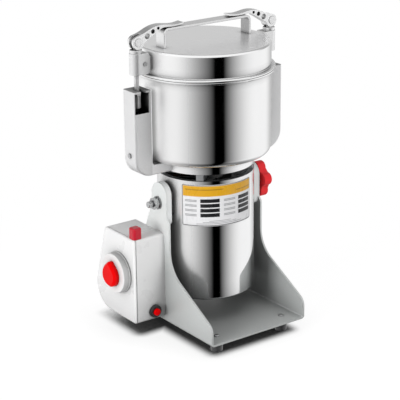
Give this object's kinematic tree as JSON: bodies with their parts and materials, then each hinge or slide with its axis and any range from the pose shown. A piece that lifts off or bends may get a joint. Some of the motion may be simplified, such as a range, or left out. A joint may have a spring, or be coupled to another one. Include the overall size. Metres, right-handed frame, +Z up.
{
  "type": "electric grain mill",
  "caption": "Swing-type electric grain mill: tipping motor head with steel grinding bowl, bayonet lid with cam levers and handle, clamp knob and side box with timer.",
  "frame": {"origin": "middle of the footprint on the surface that the feet stand on", "axes": "+Z up along the mill's own axis; -Y is the front, towards which the head tips; -X is the side with the control box"},
  "size_m": [0.2503, 0.197, 0.3962],
  "materials": {
    "base_paint": "smooth light grey baked enamel",
    "box_paint": "smooth near-white baked enamel",
    "polished_steel": "mirror polished stainless steel",
    "satin_steel": "satin brushed stainless steel",
    "arm_paint": "silver-grey satin paint",
    "cast_zinc": "polished plated casting",
    "cast_aluminium": "as-cast aluminium",
    "bolt_steel": "zinc plated steel",
    "tool_steel": "ground tool steel",
    "red_gloss": "glossy red moulding",
    "knob_red": "satin dark red moulding",
    "lamp_red": "translucent red lens",
    "white_plastic": "white moulding",
    "black_plastic": "black moulding",
    "foot_rubber": "dark rubber",
    "silicone": "translucent silicone rubber",
    "copper_winding": "enamelled copper on laminated steel"
  },
  "bodies": {
    "base": {"base_bracket": "base_paint", "left_cheek_pad": "base_paint", "right_cheek_pad": "base_paint", "foot_front_left": "foot_rubber", "foot_front_right": "foot_rubber", "foot_rear_left": "foot_rubber", "foot_rear_right": "foot_rubber", "foot_screws": "bolt_steel", "control_box": "box_paint", "timer_body": "black_plastic", "timer_bezel": "white_plastic", "lamp_lens": "lamp_red", "lamp_holder": "black_plastic", "breaker_body": "black_plastic", "cord_gland": "black_plastic"},
    "head": {"motor_can": "polished_steel", "bottom_cover": "black_plastic", "upper_frame": "cast_aluminium", "neck_ring": "polished_steel", "bowl": "polished_steel", "left_side_arm": "arm_paint", "right_side_arm": "arm_paint", "arm_screws": "bolt_steel", "microswitch": "black_plastic", "left_pivot_boss": "cast_aluminium", "right_pivot_boss": "cast_aluminium", "pivot_bolt": "bolt_steel", "pivot_nut": "bolt_steel", "clamp_stud": "bolt_steel", "stator": "copper_winding", "upper_bearing": "tool_steel", "lower_bearing": "tool_steel", "shaft_seal": "silicone", "brush_holders": "black_plastic"},
    "clamp_washer": {"clamp_washer": "bolt_steel"},
    "clamp_knob": {"star_knob": "knob_red"},
    "rotor": {"rotor_shaft": "tool_steel", "armature": "copper_winding", "cooling_fan": "black_plastic", "lower_blade": "tool_steel", "blade_spacer": "tool_steel", "upper_blade": "tool_steel", "blade_nut": "satin_steel"},
    "lid": {"lid_shell": "polished_steel", "lid_gasket": "silicone", "handle": "satin_steel", "left_latch_sleeve": "satin_steel", "right_latch_sleeve": "satin_steel", "sleeve_screws": "bolt_steel"},
    "left_rod": {"left_rod": "satin_steel"},
    "right_rod": {"right_rod": "satin_steel"},
    "left_lever": {"left_lever": "cast_zinc", "left_lever_pin": "bolt_steel"},
    "right_lever": {"right_lever": "cast_zinc", "right_lever_pin": "bolt_steel"},
    "timer_knob": {"timer_knob": "white_plastic", "knob_pointer": "red_gloss", "timer_shaft": "bolt_steel"},
    "reset_button": {"reset_button": "red_gloss"},
    "switch_plunger": {"switch_plunger": "white_plastic"}
  },
  "joints": [
    {"name": "head_swing", "type": "hinge", "parent": "base", "child": "head", "pos_m": [0.01215, 0.0115, 0.173], "axis": [1, 0, 0], "range_deg": [0, 100]},
    {"name": "clamp_slide", "type": "slide", "parent": "head", "child": "clamp_washer", "axis": [1, 0, 0], "range_m": [0, 0.00126]},
    {"name": "clamp_turn", "type": "hinge", "parent": "clamp_washer", "child": "clamp_knob", "pos_m": [0.09215, 0.0115, 0.173], "axis": [1, 0, 0], "range_deg": [0, 360]},
    {"name": "rotor_spin", "type": "hinge", "parent": "head", "child": "rotor", "pos_m": [0.01215, 0.0115, 0.24], "axis": [0, 0, 1], "continuous": true},
    {"name": "lid_turn", "type": "hinge", "parent": "head", "child": "lid", "pos_m": [0.01215, 0.0115, 0.35], "axis": [0, 0, 1], "range_deg": [0, 18]},
    {"name": "left_rod_slide", "type": "slide", "parent": "lid", "child": "left_rod", "axis": [0, 0, -1], "range_m": [0, 0.00141]},
    {"name": "left_lever_lift", "type": "hinge", "parent": "left_rod", "child": "left_lever", "pos_m": [-0.08835, 0.0115, 0.3795], "axis": [0, -1, 0], "range_deg": [0, 100]},
    {"name": "right_rod_slide", "type": "slide", "parent": "lid", "child": "right_rod", "axis": [0, 0, -1], "range_m": [0, 0.00141]},
    {"name": "right_lever_lift", "type": "hinge", "parent": "right_rod", "child": "right_lever", "pos_m": [0.11265, 0.0115, 0.3795], "axis": [0, 1, 0], "range_deg": [0, 100]},
    {"name": "timer_turn", "type": "hinge", "parent": "base", "child": "timer_knob", "pos_m": [-0.10935, 0.0325, 0.0857], "axis": [1, 0, 0], "range_deg": [0, 300]},
    {"name": "reset_press", "type": "slide", "parent": "base", "child": "reset_button", "axis": [0, 1, 0], "range_m": [0, 0.002], "stiffness_N_per_m": 400},
    {"name": "plunger_travel", "type": "slide", "parent": "head", "child": "switch_plunger", "axis": [0, -1, 0], "range_m": [0, 0.00121]}
  ],
  "couplings": [
    {"joint": "clamp_slide", "follows": "clamp_turn", "m_per_rad": 0.00019894},
    {"joint": "left_rod_slide", "follows": "left_lever_lift", "m_per_rad": 0.00080214},
    {"joint": "right_rod_slide", "follows": "right_lever_lift", "m_per_rad": 0.00080214},
    {"joint": "plunger_travel", "follows": "lid_turn", "m_per_rad": 0.0038197}
  ]
}
